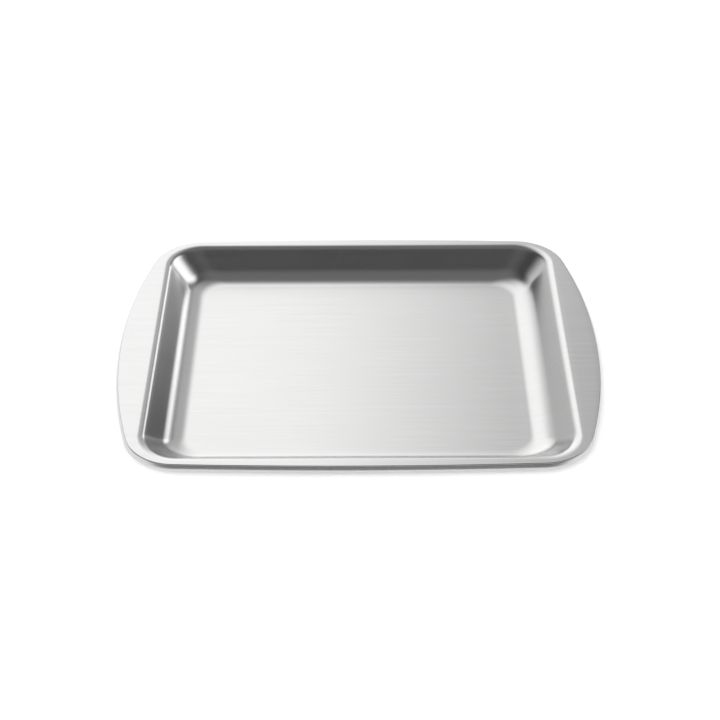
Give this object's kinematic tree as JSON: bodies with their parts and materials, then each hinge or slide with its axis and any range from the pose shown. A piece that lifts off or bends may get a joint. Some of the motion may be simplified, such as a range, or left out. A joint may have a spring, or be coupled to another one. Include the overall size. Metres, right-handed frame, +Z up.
{
  "type": "instrument tray",
  "caption": "Shallow rectangular instrument tray pressed from one stainless sheet, with dished walls, a flat rim widening into bow-shaped end handles, and an edge rolled under.",
  "frame": {"origin": "middle of the base, at the level of its underside, which rests on the table", "axes": "+X along the tray's length towards one handle, +Y across it towards one long side, +Z up out of the well"},
  "size_m": [0.351, 0.2794, 0.0198],
  "materials": {
    "stainless_steel": "satin, fine grain along the length"
  },
  "bodies": {
    "root": {"tray": "stainless_steel"}
  },
  "joints": []
}
